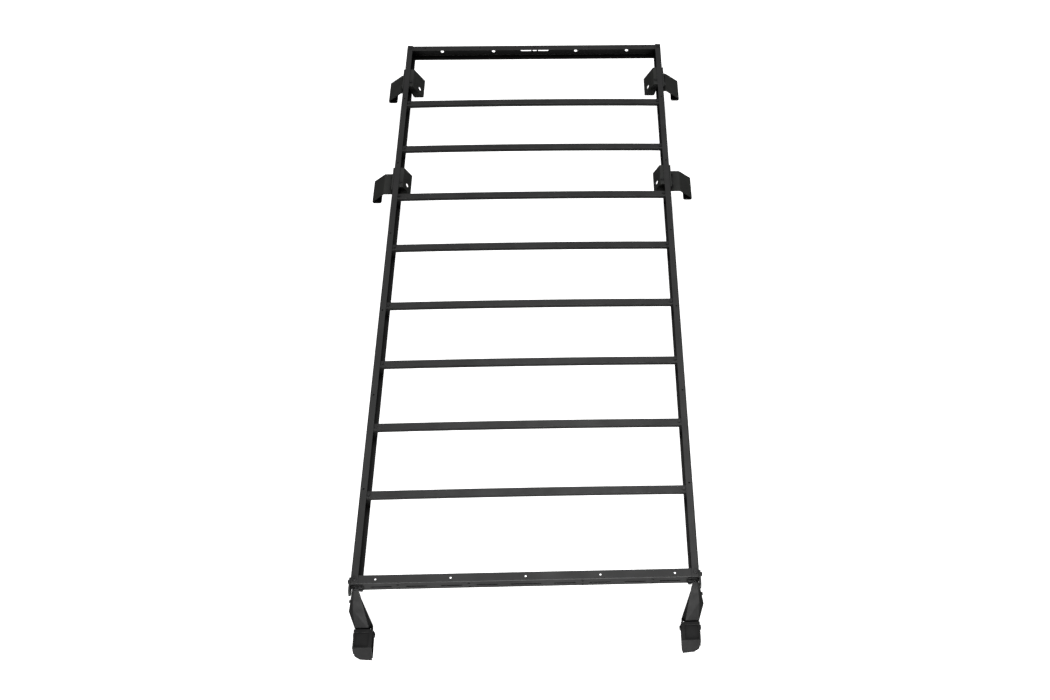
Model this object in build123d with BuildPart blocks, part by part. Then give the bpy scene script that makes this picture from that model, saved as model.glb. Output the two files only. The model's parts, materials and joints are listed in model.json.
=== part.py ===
from build123d import *
from math import cos, radians, sin, tan
import os

# Ladder rack for a truck or van roof: folded steel rails and crossmembers carrying eight slats,
# four clamp brackets along the sides and two forward legs with tilting feet.
# Millimetres. X across the vehicle, +Y to the rear, +Z up.
# Origin: middle of the rack's footprint, at the height of the lowest toe.

# ---- driving dimensions -------------------------------------------------------------------------
rack_width = 1182.0          # outside face to outside face of the rails
rack_length = 2653.0         # front face to rear edge
rack_top = 214.0             # top of the rails above the toes of the feet

sheet = 2.5                  # rails and crossmembers
rail_height = 63.5
rail_top_flange = 25.0
rail_bottom_flange = 30.0
rail_hole_pitch = 390.0
rail_hole_first = 355.0
rail_hole_dia = 7.0

cross_flange = 30.5
cross_hole_pitch = 254.0
cross_hole_dia = 7.0
strap_slot_length = 73.5
strap_slot_height = 10.0
strap_slot_pitch = 120.0
strap_slot_first = 132.5
centre_slot_length = 106.0
face_hole_dia = 10.5
face_hole_gap = 30.0
face_hole_x = (193.0, 433.0)
rear_hole_dia = 15.0
rear_hole_drop = 36.0
rear_slot_drop = 32.0
rear_slots = ((-40.5, 50.0), (0.0, 20.0), (40.5, 50.0))

slat_width = 29.0
slat_height = 17.0
slat_wall = 2.0
slat_crown = 6.0
slat_pitch = 275.5
slat_first = 333.0
slat_middle_gap = 292.0

arm_sheet = 5.0
brace_sheet = 3.0
gusset_sheet = 3.0
leg_sheet = 4.0
foot_sheet = 3.0
bracket_length = 112.0       # shelf, slope and lip of an outer arm
upright_length = 122.0       # its upright runs on further back
brace_ahead = 15.0           # from the near end of the arm to the near end of the brace
mid_bracket_y = 1766.0
rear_bracket_y = 2374.0

m8_radius = 4.0
m8_hole = 4.5
m6_radius = 3.0
m6_hole = 3.4
pivot_radius = 5.0
pivot_clearance = 0.05
pivot_ahead = -113.0         # foot pivot, measured from the front face
pivot_drop = 187.0           # and below the rack top
lug_thickness = 5.0
foot_gap = 0.3               # side play of the foot on its lugs
tread_back = -99.5           # flat tread of the foot, measured from the front face
tread_front = -166.0
tread_drop = 165.0
toe_lean = 31.0              # degrees from upright

# ---- values worked out from them ----------------------------------------------------------------
half = rack_width / 2
web_inside = half - sheet
toe_drop = rack_top - foot_sheet * sin(radians(toe_lean))
toe_reach = -tread_front + (toe_drop - tread_drop) * tan(radians(toe_lean))
front = -(rack_length - toe_reach) / 2
rear = front + rack_length
cross_top = rack_top - sheet
cross_bottom = rack_top - rail_height + sheet
cross_middle = rack_top - 34.0
cross_half_length = web_inside - 1.6
rail_middle = half - rail_top_flange / 2
slat_ends_top = cross_top - 0.7
slat_half_length = web_inside - 0.5
slat_bolt_x = half - rail_top_flange - 8.0
lug_inner_x = -half + 56.0
lug_outer_x = -half - 3.0
foot_inner_x = lug_inner_x + foot_gap
foot_outer_x = lug_outer_x - foot_gap
slat_y = [front + slat_first + slat_pitch * n for n in range(4)]
slat_y += [slat_y[3] + slat_middle_gap + slat_pitch * n for n in range(4)]

os.makedirs("parts", exist_ok=True)


def save(piece, name):
    """Label one finished piece and write its STEP file."""
    piece.label = name
    export_step(piece, f"parts/{name}.step")


def save_pair(piece, left_name, right_name):
    """Write a left-hand piece and its mirror image."""
    with BuildPart() as opposite:
        add(mirror(piece, about=Plane.YZ, mode=Mode.PRIVATE))
    save(piece, left_name)
    save(opposite.part, right_name)


def across(y):
    """Plane square to the vehicle's length at y; extruding it goes rearwards."""
    return Plane(origin=(0, y, 0), x_dir=(1, 0, 0), z_dir=(0, 1, 0))


def facing(x, y, z, direction):
    """Plane at a point of a surface, its normal pointing out of that surface."""
    return Plane(origin=(x, y, z), z_dir=direction)


# ---- fasteners ----------------------------------------------------------------------------------
def hex_bolt(radius, length):
    """Flanged hexagon bolt: seat at z = 0, head above, shank below."""
    with BuildPart() as bolt:
        Cylinder(radius * 2.1, radius * 0.4, align=(Align.CENTER, Align.CENTER, Align.MIN))
        with BuildSketch(Plane.XY.offset(radius * 0.4)):
            RegularPolygon(radius * 1.85, 6)
        extrude(amount=radius * 1.2)
        chamfer(bolt.faces().sort_by(Axis.Z)[-1].edges(), radius * 0.15)
        Cylinder(radius, length, align=(Align.CENTER, Align.CENTER, Align.MAX))
        chamfer(bolt.faces().sort_by(Axis.Z)[0].edges(), radius * 0.2)
    return bolt.part


def hex_nut(radius, bore):
    """Flanged nut: seat at z = 0, body below, so that it goes on the far side of the joint."""
    with BuildPart() as nut:
        Cylinder(radius * 2.0, radius * 0.35, align=(Align.CENTER, Align.CENTER, Align.MAX))
        with BuildSketch(Plane.XY.offset(-radius * 0.35)):
            RegularPolygon(radius * 1.85, 6)
        extrude(amount=-radius * 1.3)
        chamfer(nut.faces().sort_by(Axis.Z)[0].edges(), radius * 0.15)
        Cylinder(bore, radius * 8, mode=Mode.SUBTRACT)
    return nut.part


def button_screw(radius, length):
    """Round-headed screw with a hexagon socket: seat at z = 0, head above, shank below."""
    head = radius * 0.9
    with BuildPart() as screw:
        Cylinder(radius * 1.8, head, align=(Align.CENTER, Align.CENTER, Align.MIN))
        fillet(screw.faces().sort_by(Axis.Z)[-1].edges(), radius * 0.45)
        with BuildSketch(Plane.XY.offset(head)):
            RegularPolygon(radius * 0.68, 6)
        extrude(amount=-radius * 0.6, mode=Mode.SUBTRACT)
        Cylinder(radius, length, align=(Align.CENTER, Align.CENTER, Align.MAX))
        chamfer(screw.faces().sort_by(Axis.Z)[0].edges(), radius * 0.2)
    return screw.part


def place(piece, planes):
    """Copies of one fastener, each a solid of its own, on the given planes."""
    with BuildPart() as group:
        with Locations(*[plane.location for plane in planes]):
            add(piece)
    return group.part


def both_sides(planes):
    """The given left-hand planes and their mirror images."""
    mirrored = []
    for plane in planes:
        spot = plane.origin
        normal = plane.z_dir
        mirrored.append(facing(-spot.X, spot.Y, spot.Z, (-normal.X, normal.Y, normal.Z)))
    return planes + mirrored


def shifted(planes, distance):
    """The same planes moved along their normals."""
    return [plane.offset(distance) for plane in planes]


# ---- where the bolts go (left-hand side) -----------------------------------------------------------
up, down = (0, 0, 1), (0, 0, -1)
outboard, forward = (-1, 0, 0), (0, -1, 0)

corner_inset = 17.0
corner_x = -rail_middle
corner_top_spots = [facing(corner_x, front + corner_inset, rack_top, up),
                    facing(corner_x, rear - corner_inset, rack_top, up)]
corner_low_spots = [facing(corner_x, front + corner_inset, rack_top - rail_height, down),
                    facing(corner_x, rear - corner_inset, rack_top - rail_height, down)]
slat_bolt_z = slat_ends_top + slat_crown * (1 - (slat_bolt_x / slat_half_length) ** 2)
slat_spots = [facing(-slat_bolt_x, y, slat_bolt_z + 0.15, up) for y in slat_y]

arm_bolt_drop = 16.0
arm_bolt_spots = []
for start in (mid_bracket_y, rear_bracket_y):
    for along in (26.0, bracket_length - 26.0):
        arm_bolt_spots.append(facing(-half - arm_sheet, front + start + along,
                                     rack_top - arm_bolt_drop, outboard))

brace_tab_z = cross_top
brace_bolt_spots = [facing(-half + rail_top_flange + 9.0, front + start + 39.0, brace_tab_z, up)
                    for start in (mid_bracket_y, rear_bracket_y)]

ear_drop = 21.0
ear_bolt_spots = [facing(-half - arm_sheet, front + 16.0, rack_top - ear_drop, outboard)]

brace_slope_x = -half + 42.0
ring_x, ring_drop = -half + 11.0, 31.0
end_pair_x = -half + 31.0
leg_face_spots = [facing(ring_x, front - leg_sheet, rack_top - ring_drop, forward),
                  facing(end_pair_x, front - leg_sheet, rack_top - 20.0, forward),
                  facing(end_pair_x, front - leg_sheet, rack_top - 42.0, forward)]


def at(x, ahead, drop):
    """Point from its x, its distance behind the front face and its height below the rack top."""
    return (x, front + ahead, rack_top - drop)


def behind(point, depth):
    """A point moved along the direction in which the leg's sheet is thick."""
    return tuple(Vector(*point) + leg_back * depth)


def between(first, second, share):
    """Point part of the way from one point to another."""
    return tuple(Vector(*first) * (1 - share) + Vector(*second) * share)


leg_back = Vector(0, 0.8176, -0.5757)
leg_outer_top = at(-half + 0.5, -leg_sheet, 40)
leg_bulge = at(-half - 19, -55, 113)
leg_edge_normal = leg_back.cross(Vector(*leg_bulge) - Vector(*leg_outer_top))
leg_edge_spots = [facing(*behind(between(leg_outer_top, leg_bulge, 0.62), 11.0), leg_edge_normal)]

pivot_spots = [facing(foot_inner_x + foot_sheet + 0.1, front + pivot_ahead,
                      rack_top - pivot_drop, (1, 0, 0)),
               facing(foot_outer_x - foot_sheet - 0.1, front + pivot_ahead,
                      rack_top - pivot_drop, outboard)]


# ---- rails and crossmembers -------------------------------------------------------------------------
def side_rail():
    """Left rail: a channel open towards the middle, full length of the rack."""
    base = rack_top - rail_height
    with BuildPart() as rail:
        with BuildSketch(across(front)):
            with BuildLine():
                Polyline((-half, -rack_top), (-half + rail_top_flange, -rack_top),
                         (-half + rail_top_flange, -cross_top), (-web_inside, -cross_top),
                         (-web_inside, -base - sheet), (-half + rail_bottom_flange, -base - sheet),
                         (-half + rail_bottom_flange, -base), (-half, -base), close=True)
            make_face()
        extrude(amount=rack_length)
        outer_folds = rail.edges().filter_by(Axis.Y).group_by(Axis.X)[0]
        fillet(outer_folds, 4.0)
        inner_folds = rail.edges().filter_by(Axis.Y).filter_by_position(
            Axis.X, -web_inside - 0.1, -web_inside + 0.1)
        fillet(inner_folds, 1.5)
        # row of small holes along the top flange
        with Locations(*[(-rail_middle, front + rail_hole_first + rail_hole_pitch * n, rack_top)
                         for n in range(6)]):
            Cylinder(rail_hole_dia / 2, 3 * sheet, mode=Mode.SUBTRACT)
        # corner bolts, top and bottom
        with Locations(*[spot.location for spot in corner_top_spots + corner_low_spots]):
            Cylinder(m8_hole, 3 * sheet, mode=Mode.SUBTRACT)
        # bracket and ear bolts through the web
        with Locations(*[spot.location for spot in arm_bolt_spots + ear_bolt_spots]):
            Cylinder(m8_hole, 4 * arm_sheet, mode=Mode.SUBTRACT)
    return rail.part


def crossmember(corner_spots):
    """Crossmember without its web openings: a channel open to the rear, nested in the rails."""
    with BuildPart() as member:
        with BuildSketch(Plane.YZ.offset(-cross_half_length)):
            with BuildLine():
                Polyline((front, cross_top), (front + cross_flange, cross_top),
                         (front + cross_flange, cross_top - sheet), (front + sheet, cross_top - sheet),
                         (front + sheet, cross_bottom + sheet),
                         (front + cross_flange, cross_bottom + sheet),
                         (front + cross_flange, cross_bottom), (front, cross_bottom), close=True)
            make_face()
        extrude(amount=2 * cross_half_length)
        outer_folds = member.edges().filter_by(Axis.X).group_by(Axis.Y)[0]
        fillet(outer_folds, 4.0)
        inner_folds = member.edges().filter_by(Axis.X).filter_by_position(
            Axis.Y, front + sheet - 0.1, front + sheet + 0.1)
        fillet(inner_folds, 1.5)
        # five holes in the top flange
        with Locations(*[(cross_hole_pitch * n, front + cross_flange / 2, cross_top)
                         for n in range(-2, 3)]):
            Cylinder(cross_hole_dia / 2, 3 * sheet, mode=Mode.SUBTRACT)
        with Locations(*[spot.location for spot in both_sides(corner_spots)]):
            Cylinder(m8_hole, 6 * sheet, mode=Mode.SUBTRACT)
    return member.part


def front_crossmember():
    """Front crossmember: strap slots and pairs of holes in the web, a plain slot in the middle."""
    with BuildPart() as member:
        add(crossmember([corner_top_spots[0], corner_low_spots[0]]))
        with BuildSketch(across(front - sheet)):
            for side in (-1, 1):
                for n in range(4):
                    with Locations((side * (strap_slot_first + strap_slot_pitch * n), -cross_middle)):
                        SlotOverall(strap_slot_length, strap_slot_height)
                for x in face_hole_x:
                    for shift in (-face_hole_gap / 2, face_hole_gap / 2):
                        with Locations((side * x, -cross_middle + shift)):
                            Circle(face_hole_dia / 2)
            with Locations((0, -cross_middle)):
                SlotOverall(centre_slot_length, strap_slot_height)
        extrude(amount=3 * sheet, mode=Mode.SUBTRACT)
        # bolts of the front legs
        with Locations(*[spot.location for spot in both_sides(leg_face_spots)]):
            Cylinder(m8_hole, 4 * leg_sheet, mode=Mode.SUBTRACT)
    return member.part


def rear_crossmember():
    """Rear crossmember: the same channel turned round, with four round holes and short slots."""
    with BuildPart() as member:
        add(crossmember([corner_top_spots[0], corner_low_spots[0]]))
        with BuildSketch(across(front - sheet)):
            for side in (-1, 1):
                for x in face_hole_x:
                    with Locations((side * x, -rack_top + rear_hole_drop)):
                        Circle(rear_hole_dia / 2)
            for x, length in rear_slots:
                with Locations((x, -rack_top + rear_slot_drop)):
                    SlotOverall(length, strap_slot_height)
        extrude(amount=3 * sheet, mode=Mode.SUBTRACT)
    with BuildPart() as turned:
        add(member.part.rotate(Axis((0, (front + rear) / 2, 0), (0, 0, 1)), 180))
    return turned.part


# ---- slats ------------------------------------------------------------------------------------------
def slat_outline(margin):
    """Front view of a slat, bowed upwards, taken in by a margin at top and bottom."""
    reach = slat_half_length
    top = slat_ends_top - margin
    bottom = slat_ends_top - slat_height + margin
    with BuildSketch() as outline:
        with BuildLine():
            ThreePointArc((-reach, -top), (0, -top - slat_crown), (reach, -top))
            Line((reach, -top), (reach, -bottom))
            ThreePointArc((reach, -bottom), (0, -bottom - slat_crown), (-reach, -bottom))
            Line((-reach, -bottom), (-reach, -top))
        make_face()
    return outline.sketch


def slat(y):
    """Slat: a rectangular tube with a slight upward crown, its ends under the rail flanges."""
    with BuildPart() as tube:
        with BuildSketch(across(y - slat_width / 2)):
            add(slat_outline(0.0))
        extrude(amount=slat_width)
        long_edges = tube.edges().filter_by(GeomType.CIRCLE)
        fillet(long_edges, 2.0)
        with BuildSketch(across(y - slat_width / 2 + slat_wall)):
            add(slat_outline(slat_wall))
        extrude(amount=slat_width - 2 * slat_wall, mode=Mode.SUBTRACT)
        with Locations((-slat_bolt_x, y, slat_ends_top), (slat_bolt_x, y, slat_ends_top)):
            Cylinder(m6_hole, 4 * slat_height, mode=Mode.SUBTRACT)
    return tube.part


def slat_clips():
    """Left-hand angle clips, one under each slat end, welded to the rail web."""
    seat = slat_ends_top - slat_height
    depth = 38.0
    drop = 16.0
    width = slat_width - 9.0
    with BuildPart() as clips:
        for y in slat_y:
            with BuildSketch(across(y - width / 2)):
                with BuildLine():
                    Polyline((-web_inside, -seat), (-web_inside + depth, -seat),
                             (-web_inside + depth, -seat + 3), (-web_inside + 3, -seat + 3),
                             (-web_inside + 3, -seat + drop), (-web_inside, -seat + drop), close=True)
                make_face()
            extrude(amount=width)
        with Locations(*[(-slat_bolt_x, y, seat) for y in slat_y]):
            Cylinder(m6_hole, 12, mode=Mode.SUBTRACT)
    return clips.part


# ---- side brackets ------------------------------------------------------------------------------------
def folded_strip(path, radii, thickness, y, length):
    """A strip folded along a path of (x, z) points, thickened to one side."""
    with BuildPart() as strip:
        with BuildSketch(across(y)):
            with BuildLine():
                FilletPolyline(*[(x, -z) for x, z in path], radius=radii)
                offset(amount=thickness, side=Side.LEFT)
            make_face()
        extrude(amount=length)
    return strip.part


def bracket_arm(start, shelf_width, slope_run, slope_drop):
    """Left outer arm: upright against the rail, shelf, slope and inturned lip."""
    wall = -half
    shelf_z = rack_top - 30.0
    slope_x = wall - arm_sheet - shelf_width
    lip_drop, lip_width = 9.0, 32.0
    outer_x = slope_x - slope_run
    lip_z = shelf_z - slope_drop - lip_drop
    path = [(wall, rack_top - 2.0), (wall, shelf_z - arm_sheet), (slope_x, shelf_z - arm_sheet),
            (outer_x, shelf_z - slope_drop), (outer_x, lip_z), (outer_x + lip_width, lip_z)]
    with BuildPart() as arm:
        add(folded_strip(path, (6.0, 2.0, 2.0, 2.0), arm_sheet, front + start, upright_length))
        # behind the shelf only the upright runs on
        with Locations((wall - arm_sheet, front + start + bracket_length, rack_top - 20.0)):
            Box(200.0, upright_length, 200.0, align=(Align.MAX, Align.MIN, Align.MAX),
                mode=Mode.SUBTRACT)
        lip_end = outer_x + lip_width
        lip_corners = arm.edges().filter_by(Axis.Z).filter_by_position(
            Axis.X, lip_end - 0.1, lip_end + 0.1)
        fillet(lip_corners, 9.0)
        with Locations(*[spot.location for spot in arm_bolt_spots]):
            Cylinder(m8_hole, 4 * arm_sheet, mode=Mode.SUBTRACT)
    return arm.part


def bracket_brace(start, foot_in, foot_drop, hole_share, hole_along):
    """Left inner brace: leg up the inside of the web, tab under the flange, then a sloping plate."""
    foot = (-half + foot_in, rack_top - foot_drop)
    path = [(-web_inside, rack_top - 50.0), (-web_inside, brace_tab_z),
            (brace_slope_x, brace_tab_z), foot]
    run = foot[0] - brace_slope_x
    fall = brace_tab_z - foot[1]
    hole_at = facing(brace_slope_x + hole_share * run, front + start + brace_ahead + hole_along,
                     brace_tab_z - hole_share * fall, (fall, 0, run))
    with BuildPart() as brace:
        add(folded_strip(path, (5.0, 5.0), brace_sheet, front + start + brace_ahead,
                         upright_length - brace_ahead))
        with Locations(*[spot.location for spot in arm_bolt_spots]):
            Cylinder(m8_hole, 8 * arm_sheet, mode=Mode.SUBTRACT)
        with Locations(*[spot.location for spot in brace_bolt_spots]):
            Cylinder(m6_hole, 4 * brace_sheet, mode=Mode.SUBTRACT)
        with Locations(hole_at.location):
            Cylinder(9.0, 6 * brace_sheet, mode=Mode.SUBTRACT)
    return brace.part


def bracket_gusset(start, foot_in, foot_drop, left_in):
    """Left gusset: plate closing the near end of the brace, with a tab bolted under the brace."""
    foot = (-half + foot_in, rack_top - foot_drop)
    run = foot[0] - brace_slope_x
    fall = brace_tab_z - foot[1]
    size = (run ** 2 + fall ** 2) ** 0.5
    # the underside of the sloping plate
    in_x, in_z = -fall / size * brace_sheet, -run / size * brace_sheet
    tab_z = brace_tab_z - brace_sheet
    low = (foot[0] + in_x, foot[1] + in_z)
    high_z = tab_z - 3.0
    high_x = low[0] - run * (high_z - low[1]) / fall
    tab_in = 25.0
    near = front + start + brace_ahead
    with BuildPart() as gusset:
        with BuildSketch(across(near)):
            with BuildLine():
                Polyline((-half + tab_in, -tab_z), (high_x - 4.0, -tab_z), (high_x, -high_z),
                         (low[0], -low[1]), (-half + left_in, -low[1]),
                         (-half + tab_in, -tab_z + 12.0), close=True)
            make_face()
        extrude(amount=gusset_sheet)
        low_corner = gusset.edges().filter_by(Axis.Y).filter_by_position(
            Axis.X, -half + left_in - 0.1, -half + left_in + 0.1).sort_by(Axis.Z)[0]
        fillet(low_corner, 9.0)
        with BuildSketch(across(near)):
            with Locations(((-half + tab_in + high_x - 4.0) / 2, -tab_z + gusset_sheet / 2)):
                Rectangle(high_x - 4.0 + half - tab_in, gusset_sheet)
        extrude(amount=48.0)
        with Locations(*[spot.location for spot in brace_bolt_spots]):
            Cylinder(m6_hole, 8 * brace_sheet, mode=Mode.SUBTRACT)
    return gusset.part


# ---- front legs ------------------------------------------------------------------------------------
def ear_plate():
    """Left ear: a plate on the outside of the rail with a round end that stands out in front."""
    height = 35.0
    reach, tail = 35.0, 26.0
    middle = rack_top - 3.0 - height / 2
    straight = reach + tail - height / 2
    with BuildPart() as ear:
        with BuildSketch(Plane(origin=(-half - arm_sheet, 0, 0), x_dir=(0, 1, 0), z_dir=(1, 0, 0))):
            with Locations((front - reach + height / 2, middle)):
                Circle(height / 2)
            with Locations((front + tail - straight / 2, middle)):
                Rectangle(straight, height)
        extrude(amount=arm_sheet)
        rear_corners = ear.edges().filter_by(Axis.X).sort_by(Axis.Y)[-2:]
        fillet(rear_corners, 5.0)
        with Locations(*[spot.location for spot in ear_bolt_spots]):
            Cylinder(m8_hole, 4 * arm_sheet, mode=Mode.SUBTRACT)
    return ear.part


def front_leg():
    """Left leg: face flange, creased web widening downwards, folded edges and two pivot lugs."""
    outer_top, bulge = leg_outer_top, leg_bulge
    crease_top = at(-half + 7, -leg_sheet - 1, 40)
    inner_top = at(-half + 20, -leg_sheet, 40)
    strip_top = at(-half + 26, -20, 62)
    crest = at(-half - 3, -54, 100)
    outer_foot = at(lug_outer_x, -99.5, 175.5)
    inner_foot = at(lug_inner_x - 12, -99.5, 175.5)
    inner_edge = at(lug_inner_x, -82, 186)
    web_facets = [(outer_top, crease_top, crest), (outer_top, crest, bulge),
                  (crease_top, inner_top, strip_top), (crease_top, strip_top, crest),
                  (strip_top, inner_foot, crest), (crest, inner_foot, outer_foot),
                  (crest, outer_foot, bulge)]
    edge_depth = 22.0
    edge_start = behind(between(outer_top, bulge, 0.27), edge_depth)
    outer_edges = [(outer_top, bulge, behind(bulge, edge_depth), edge_start),
                   (bulge, outer_foot, behind(outer_foot, edge_depth), behind(bulge, edge_depth))]
    with BuildPart() as leg:
        # flange against the front crossmember
        with BuildSketch(across(front - leg_sheet)):
            with BuildLine():
                Polyline((-half + 0.5, 44 - rack_top), (-half + 0.5, 20 - rack_top),
                         (-half + 5, 12 - rack_top), (-half + 12, 9 - rack_top),
                         (-half + 40, 9 - rack_top), (-half + 41, 44 - rack_top),
                         (-half + 31, 59 - rack_top), (-half + 20, 48 - rack_top), close=True)
            make_face()
        extrude(amount=leg_sheet)
        for facet in web_facets:
            extrude(Face(Wire.make_polygon(facet, close=True)), amount=leg_sheet, dir=leg_back)
        extrude(Face(Wire.make_polygon((strip_top, inner_foot, inner_edge), close=True)),
                amount=leg_sheet, dir=(-1, 0, 0))
        for facet in outer_edges:
            extrude(Face(Wire.make_polygon(facet, close=True)), amount=leg_sheet, dir=(1, 0, 0))
        # lugs that carry the foot
        for x in (lug_inner_x - lug_thickness, lug_outer_x):
            with BuildSketch(Plane(origin=(x, 0, 0), x_dir=(0, 1, 0), z_dir=(1, 0, 0))):
                with Locations((front + pivot_ahead, rack_top - pivot_drop)):
                    Circle(11.0)
                with BuildLine():
                    Polyline(at(0, -96, 171)[1:], at(0, -84, 180)[1:],
                             at(0, pivot_ahead + 8, pivot_drop + 7.5)[1:],
                             at(0, pivot_ahead - 6, pivot_drop - 9)[1:], close=True)
                make_face()
            extrude(amount=lug_thickness)
        with Locations(facing(0, front + pivot_ahead, rack_top - pivot_drop, outboard).location):
            Cylinder(pivot_radius + pivot_clearance, 3 * rack_width, mode=Mode.SUBTRACT)
        with Locations(*[spot.location for spot in leg_face_spots]):
            Cylinder(m8_hole, 2 * leg_sheet, mode=Mode.SUBTRACT)
        with Locations(*[spot.location for spot in leg_edge_spots]):
            Cylinder(m6_hole, 4 * leg_sheet, mode=Mode.SUBTRACT)
    return leg.part


def front_foot():
    """Left foot: pressed tread with folded sides and a leaning toe, tilting on the leg's lugs."""
    inner_wall = foot_inner_x + foot_sheet
    outer_wall = foot_outer_x - foot_sheet
    tread_z = rack_top - tread_drop
    pocket_depth = 4.0
    pocket_left, pocket_right = outer_wall + 6.0, inner_wall - 12.0
    pocket_back, pocket_front = tread_back - 11.0, tread_front + 4.0
    lean = radians(toe_lean)

    def toe_point(x, drop):
        return at(x, tread_front - (drop - tread_drop) * tan(lean), drop)

    toe = [toe_point(outer_wall, tread_drop), toe_point(inner_wall, tread_drop),
           toe_point(inner_wall - 3.0, toe_drop), toe_point(inner_wall - 44.0, toe_drop - 4.0),
           toe_point(outer_wall + 5.0, toe_drop - 16.0)]
    with BuildPart() as foot:
        with BuildSketch(Plane.XY.offset(tread_z)):
            with Locations(((inner_wall + outer_wall) / 2, front + (tread_back + tread_front) / 2)):
                Rectangle(inner_wall - outer_wall, tread_back - tread_front)
        extrude(amount=-foot_sheet)
        extrude(Face(Wire.make_polygon(toe, close=True)), amount=foot_sheet,
                dir=(0, cos(lean), -sin(lean)))
        for x, side_front, side_drop in ((foot_inner_x, 188.0, 209.0), (outer_wall, 178.0, 190.0)):
            with BuildSketch(Plane(origin=(x, 0, 0), x_dir=(0, 1, 0), z_dir=(1, 0, 0))):
                with Locations((front + pivot_ahead, rack_top - pivot_drop)):
                    Circle(14.0)
                with BuildLine():
                    Polyline(at(0, tread_back, tread_drop)[1:], at(0, tread_front, tread_drop)[1:],
                             at(0, -side_front, side_drop)[1:], at(0, -side_front + 10, side_drop)[1:],
                             at(0, pivot_ahead + 3, pivot_drop + 13.6)[1:],
                             at(0, pivot_ahead + 6, pivot_drop - 12)[1:], close=True)
                make_face()
            extrude(amount=foot_sheet)
        # pressed pocket in the tread
        pocket_middle = ((pocket_left + pocket_right) / 2, front + (pocket_back + pocket_front) / 2)
        pocket_width, pocket_length = pocket_right - pocket_left, pocket_back - pocket_front
        with BuildSketch(Plane.XY.offset(tread_z)):
            with Locations(pocket_middle):
                RectangleRounded(pocket_width + 6.0, pocket_length + 6.0, 5.0)
        extrude(amount=-foot_sheet - pocket_depth)
        with BuildSketch(Plane.XY.offset(tread_z)):
            with Locations(pocket_middle):
                RectangleRounded(pocket_width, pocket_length, 3.0)
        extrude(amount=-pocket_depth, mode=Mode.SUBTRACT)
        with Locations(facing(0, front + pivot_ahead, rack_top - pivot_drop, outboard).location):
            Cylinder(pivot_radius + pivot_clearance, 3 * rack_width, mode=Mode.SUBTRACT)
    return foot.part


# ---- build and write every piece ---------------------------------------------------------------------
save_pair(side_rail(), "left_rail", "right_rail")

save(front_crossmember(), "front_crossmember")
save(rear_crossmember(), "rear_crossmember")

for number, y in enumerate(slat_y, start=1):
    save(slat(y), f"slat_{number}")
save_pair(slat_clips(), "left_slat_clips", "right_slat_clips")

for place_name, start, arm_steps, brace_foot, brace_hole, gusset_left in (
        ("mid", mid_bracket_y, (36.0, 50.0, 47.0), (69.0, 54.0), (0.54, 32.0), 27.0),
        ("rear", rear_bracket_y, (9.0, 57.0, 50.0), (83.0, 73.0), (0.63, 28.0), 38.0)):
    for piece_name, piece in (("arm", bracket_arm(start, *arm_steps)),
                              ("brace", bracket_brace(start, *brace_foot, *brace_hole)),
                              ("gusset", bracket_gusset(start, *brace_foot, gusset_left))):
        save_pair(piece, f"{place_name}_left_{piece_name}", f"{place_name}_right_{piece_name}")

save_pair(ear_plate(), "left_ear_plate", "right_ear_plate")
save_pair(front_leg(), "left_leg", "right_leg")
save_pair(front_foot(), "left_foot", "right_foot")

# fasteners: one node for each kind and place, a bolt group and the group of nuts on its far side
for name, spots, head, radius, grip in (
        ("corner", corner_top_spots + corner_low_spots, button_screw, m8_radius, 2 * sheet),
        ("slat", slat_spots, hex_bolt, m6_radius, slat_height + 3.8),
        ("arm", arm_bolt_spots, hex_bolt, m8_radius, arm_sheet + sheet + brace_sheet),
        ("brace", brace_bolt_spots, hex_bolt, m6_radius, brace_sheet + gusset_sheet),
        ("ear", ear_bolt_spots, hex_bolt, m8_radius, arm_sheet + sheet),
        ("leg_face", leg_face_spots, hex_bolt, m8_radius, leg_sheet + sheet),
        ("leg_edge", leg_edge_spots, hex_bolt, m6_radius, leg_sheet),
        ("foot_pivot", pivot_spots, button_screw, pivot_radius,
         foot_sheet + foot_gap + lug_thickness + 0.1)):
    every_spot = both_sides(spots)
    save(place(head(radius, grip + radius * 1.65 + 1.5), every_spot), f"{name}_bolts")
    save(place(hex_nut(radius, radius + 0.02), shifted(every_spot, -grip)), f"{name}_nuts")
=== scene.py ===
import json
from math import cos, radians, sin

import bpy
from mathutils import Matrix, Vector


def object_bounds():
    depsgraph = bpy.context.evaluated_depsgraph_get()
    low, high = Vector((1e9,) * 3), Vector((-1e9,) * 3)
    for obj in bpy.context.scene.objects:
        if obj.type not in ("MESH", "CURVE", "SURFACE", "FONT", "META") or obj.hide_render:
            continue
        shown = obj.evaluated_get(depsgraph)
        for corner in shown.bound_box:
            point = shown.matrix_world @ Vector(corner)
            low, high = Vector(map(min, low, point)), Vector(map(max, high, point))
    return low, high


# A black powder-coated ladder rack: materials, floor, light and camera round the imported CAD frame.

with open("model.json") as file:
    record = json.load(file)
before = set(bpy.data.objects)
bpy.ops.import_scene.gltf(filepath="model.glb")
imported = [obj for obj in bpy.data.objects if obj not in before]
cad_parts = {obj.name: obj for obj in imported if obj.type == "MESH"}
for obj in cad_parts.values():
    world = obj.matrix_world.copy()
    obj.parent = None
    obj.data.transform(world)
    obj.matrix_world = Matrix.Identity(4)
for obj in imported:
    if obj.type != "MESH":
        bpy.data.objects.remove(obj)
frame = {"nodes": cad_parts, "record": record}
nodes = frame["nodes"]
cad_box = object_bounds()
scene = bpy.context.scene


# ---- materials -------------------------------------------------------------------------------------
def node_maker(tree):
    """A short way to add nodes and link them: returns make(kind, inputs, settings)."""
    def make(kind, inputs=None, **settings):
        node = tree.nodes.new(kind)
        for key, value in settings.items():
            setattr(node, key, value)
        for key, value in (inputs or {}).items():
            if isinstance(value, bpy.types.NodeSocket):
                tree.links.new(value, node.inputs[key])
            else:
                node.inputs[key].default_value = value
        return node
    return make


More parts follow.
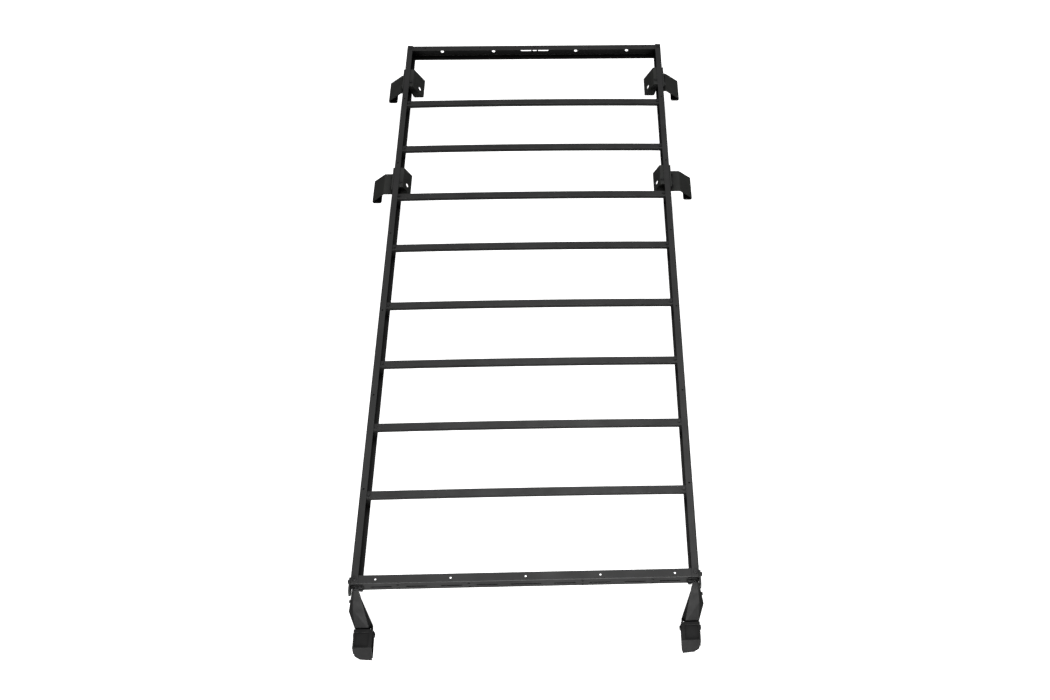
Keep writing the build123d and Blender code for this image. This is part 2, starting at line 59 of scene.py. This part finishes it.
def powder_coat(name, base, edge, rough, grain, patch_scale, fold_radius):
    """Satin powder coat: fine orange peel, faint cloudy patches, paler edges (a thin, worn film plus
    a painted highlight) and painted shade in folds and channels.
    """
    material = bpy.data.materials.new(name)
    material.use_nodes = True
    tree = material.node_tree
    tree.nodes.clear()
    make = node_maker(tree)
    place = make("ShaderNodeTexCoord").outputs["Object"]

    # edges: where the rounded normal leaves the flat one
    rounded = make("ShaderNodeBevel", {"Radius": fold_radius}, samples=4)
    flat = make("ShaderNodeNewGeometry").outputs["Normal"]
    turn = make("ShaderNodeVectorMath", {0: rounded.outputs["Normal"], 1: flat},
                operation="DOT_PRODUCT")
    edge_mask = make("ShaderNodeMapRange", {"Value": turn.outputs["Value"], "From Min": 0.995,
                                            "From Max": 0.80, "To Min": 0.0, "To Max": 1.0})
    nicks = make("ShaderNodeTexNoise", {"Vector": place, "Scale": 95.0, "Detail": 5.0,
                                        "Roughness": 0.62})
    worn = make("ShaderNodeMapRange", {"Value": nicks.outputs["Fac"], "From Min": 0.30,
                                       "From Max": 0.72, "To Min": 0.25, "To Max": 1.0})
    worn_edge_and_highlight = make("ShaderNodeMath", {0: edge_mask.outputs["Result"], 1: worn.outputs["Result"]},
                      operation="MULTIPLY")

    # cloudy patches and fine speckle in the colour
    cloud = make("ShaderNodeTexNoise", {"Vector": place, "Scale": patch_scale, "Detail": 6.0,
                                        "Roughness": 0.58, "Distortion": 0.4})
    speck = make("ShaderNodeTexNoise", {"Vector": place, "Scale": 1400.0, "Detail": 2.0})
    shade = make("ShaderNodeMapRange", {"Value": cloud.outputs["Fac"], "From Min": 0.3,
                                        "From Max": 0.7, "To Min": 0.82, "To Max": 1.2})
    dots = make("ShaderNodeMapRange", {"Value": speck.outputs["Fac"], "From Min": 0.35,
                                       "From Max": 0.68, "To Min": 0.86, "To Max": 1.16})
    film = make("ShaderNodeMath", {0: shade.outputs["Result"], 1: dots.outputs["Result"]},
                operation="MULTIPLY")
    # painted shade: the colour is darkened where the surface is sheltered, inside folds and channels
    open_share = make("ShaderNodeAmbientOcclusion", {"Distance": 0.09}, samples=8)
    painted_recess_shade = make("ShaderNodeMapRange", {"Value": open_share.outputs["AO"], "From Min": 0.35,
                                          "From Max": 0.95, "To Min": 0.12, "To Max": 1.0})
    # random mottling times the painted shade in recesses
    mottle_and_painted_shade = make("ShaderNodeMath", {0: film.outputs["Value"], 1: painted_recess_shade.outputs["Result"]},
                operation="MULTIPLY")
    body = make("ShaderNodeVectorMath", {0: base, "Scale": mottle_and_painted_shade.outputs["Value"]},
                operation="SCALE")
    # paler edges: partly a worn, thin film, partly a painted highlight
    colour = make("ShaderNodeMix", {"Factor": worn_edge_and_highlight.outputs["Value"],
                                    "A": body.outputs["Vector"], "B": edge + (1.0,)},
                  data_type="RGBA")

    # gloss varies a little with the film
    gloss = make("ShaderNodeTexNoise", {"Vector": place, "Scale": patch_scale * 2.6, "Detail": 4.0})
    rough_value = make("ShaderNodeMapRange", {"Value": gloss.outputs["Fac"], "From Min": 0.3,
                                              "From Max": 0.7, "To Min": rough - 0.05,
                                              "To Max": rough + 0.06})

    # orange peel over a very fine grain
    peel = make("ShaderNodeTexNoise", {"Vector": place, "Scale": grain * 0.42, "Detail": 2.0,
                                       "Roughness": 0.45})
    fine = make("ShaderNodeTexNoise", {"Vector": place, "Scale": grain * 1.7, "Detail": 3.0,
                                       "Roughness": 0.6})
    soft = make("ShaderNodeBump", {"Strength": 0.22, "Distance": 0.00045,
                                   "Height": peel.outputs["Fac"],
                                   "Normal": rounded.outputs["Normal"]})
    normal = make("ShaderNodeBump", {"Strength": 0.16, "Distance": 0.00018,
                                     "Height": fine.outputs["Fac"],
                                     "Normal": soft.outputs["Normal"]})
    shader = make("ShaderNodeBsdfPrincipled", {"Base Color": colour.outputs["Result"],
                                               "Roughness": rough_value.outputs["Result"],
                                               "Specular IOR Level": 0.22,
                                               "Normal": normal.outputs["Normal"]})
    output = make("ShaderNodeOutputMaterial")
    tree.links.new(shader.outputs["BSDF"], output.inputs["Surface"])
    return material


coats = {
    "frame_black": powder_coat("frame_coat", (0.034, 0.034, 0.034), (0.13, 0.13, 0.13),
                               0.46, 520.0, 5.0, 0.0012),
    "slat_black": powder_coat("slat_coat", (0.033, 0.033, 0.033), (0.11, 0.11, 0.11),
                              0.43, 560.0, 8.0, 0.0010),
    "bracket_black": powder_coat("bracket_coat", (0.036, 0.037, 0.035), (0.17, 0.17, 0.17),
                                 0.48, 480.0, 11.0, 0.0012),
    # the legs' coat is far darker than the frame's: painted shade on the legs
    "leg_black": powder_coat("leg_coat_painted_shade", (0.008, 0.008, 0.008), (0.15, 0.15, 0.15),
                             0.62, 500.0, 12.0, 0.0012),
    "bolt_black": powder_coat("bolt_finish", (0.022, 0.022, 0.023), (0.15, 0.15, 0.15),
                              0.36, 900.0, 40.0, 0.0006),
    "nut_black": powder_coat("nut_finish", (0.020, 0.020, 0.021), (0.13, 0.13, 0.13),
                             0.38, 900.0, 40.0, 0.0006),
}
# a darker, rougher coat for the feet's upward faces: painted shade
tread_painted_shade_coat = powder_coat("tread_painted_shade_coat", (0.012, 0.012, 0.012), (0.05, 0.05, 0.05),
                         0.62, 320.0, 14.0, 0.0010)
for part in frame["record"]["subparts"]:
    mesh = nodes[part["node"]].data
    mesh.materials.clear()
    mesh.materials.append(coats[part["material_slot"]])
# the upward-facing faces of each foot, its flat tread and pocket, get a darker, rougher coat: painted
# shade
upward = 0.95           # a face counts as tread when its normal points up at least this much
for name in ("left_foot", "right_foot"):
    mesh = nodes[name].data
    mesh.materials.append(tread_painted_shade_coat)
    turn = nodes[name].matrix_world.to_3x3()
    for face in mesh.polygons:
        if (turn @ face.normal).normalized().z > upward:
            face.material_index = 1

# ---- floor -----------------------------------------------------------------------------------------
floor_gap = 0.0005      # keeps the floor just clear of the lowest point
reach = 40.0
corners = [(-reach, -reach, 0), (reach, -reach, 0), (reach, reach, 0), (-reach, reach, 0)]
floor_mesh = bpy.data.meshes.new("floor")
floor_mesh.from_pydata(corners, [], [(0, 1, 2, 3)])
floor = bpy.data.objects.new("floor", floor_mesh)
floor.location.z = cad_box[0][2] - floor_gap
scene.collection.objects.link(floor)
pale = bpy.data.materials.new("pale_floor")
pale.use_nodes = True
pale_shader = pale.node_tree.nodes["Principled BSDF"]
pale_shader.inputs["Base Color"].default_value = (0.96, 0.96, 0.96, 1)
pale_shader.inputs["Roughness"].default_value = 0.95
pale_shader.inputs["Specular IOR Level"].default_value = 0.0
pale_shader.inputs["Emission Color"].default_value = (1, 1, 1, 1)
pale_shader.inputs["Emission Strength"].default_value = 0.85
floor_mesh.materials.append(pale)
floor.visible_diffuse = False
floor.visible_glossy = False
scene.view_settings.view_transform = "Standard"

# ---- light -----------------------------------------------------------------------------------------
world = bpy.data.worlds.new("studio")
scene.world = world
world.use_nodes = True
tree = world.node_tree
tree.nodes.clear()
make = node_maker(tree)
direction = make("ShaderNodeTexCoord").outputs["Generated"]
height = make("ShaderNodeSeparateXYZ", {"Vector": direction}).outputs["Z"]
sky = make("ShaderNodeMapRange", {"Value": height, "From Min": -0.1, "From Max": 1.0,
                                  "To Min": 0.02, "To Max": 0.38})
# the backdrop itself is as white as the floor, and lights the object only softly
seen = make("ShaderNodeLightPath").outputs["Is Camera Ray"]
strength = make("ShaderNodeMix", {"Factor": seen, "A": sky.outputs["Result"], "B": 1.0})
background = make("ShaderNodeBackground", {"Color": (1, 1, 1, 1),
                                           "Strength": strength.outputs["Result"]})
world_output = make("ShaderNodeOutputWorld")
tree.links.new(background.outputs["Background"], world_output.inputs["Surface"])


def softbox(name, place, target, size, power):
    """A large square area light aimed at a point."""
    lamp = bpy.data.lights.new(name, "AREA")
    lamp.shape = "SQUARE"
    lamp.size = size
    lamp.energy = power
    holder = bpy.data.objects.new(name, lamp)
    holder.location = place
    holder.visible_camera = False
    holder.rotation_euler = (Vector(target) - Vector(place)).to_track_quat("-Z", "Y").to_euler()
    scene.collection.objects.link(holder)


softbox("overhead", (0.2, 0.9, 4.2), (0, 0.3, 0.1), 2.2, 80.0)
softbox("front", (0.0, -3.6, 0.7), (0, -1.2, 0.15), 1.6, 120.0)

# ---- camera ----------------------------------------------------------------------------------------
pitch, yaw, roll = radians(56.66), radians(3.128), radians(-1.7)
camera_place = (0.2115, -2.6876, 3.806)
sensor_width = 36.0
focal_length = 38.42743
framing_shift = (-0.0886667, 0.0057143)     # as shares of the image width
ahead = Vector((sin(yaw) * cos(pitch), cos(yaw) * cos(pitch), -sin(pitch)))
level = Vector((cos(yaw), -sin(yaw), 0))
below = ahead.cross(level)
right = level * cos(roll) + below * sin(roll)
down = below * cos(roll) - level * sin(roll)
lens = bpy.data.cameras.new("camera")
lens.sensor_width = sensor_width
lens.lens = focal_length
lens.shift_x, lens.shift_y = framing_shift
lens.clip_end = 200.0
camera = bpy.data.objects.new("camera", lens)
camera.matrix_world = Matrix.Translation(camera_place) @ Matrix(
    (right, -down, -ahead)).transposed().to_4x4()
scene.collection.objects.link(camera)
scene.camera = camera
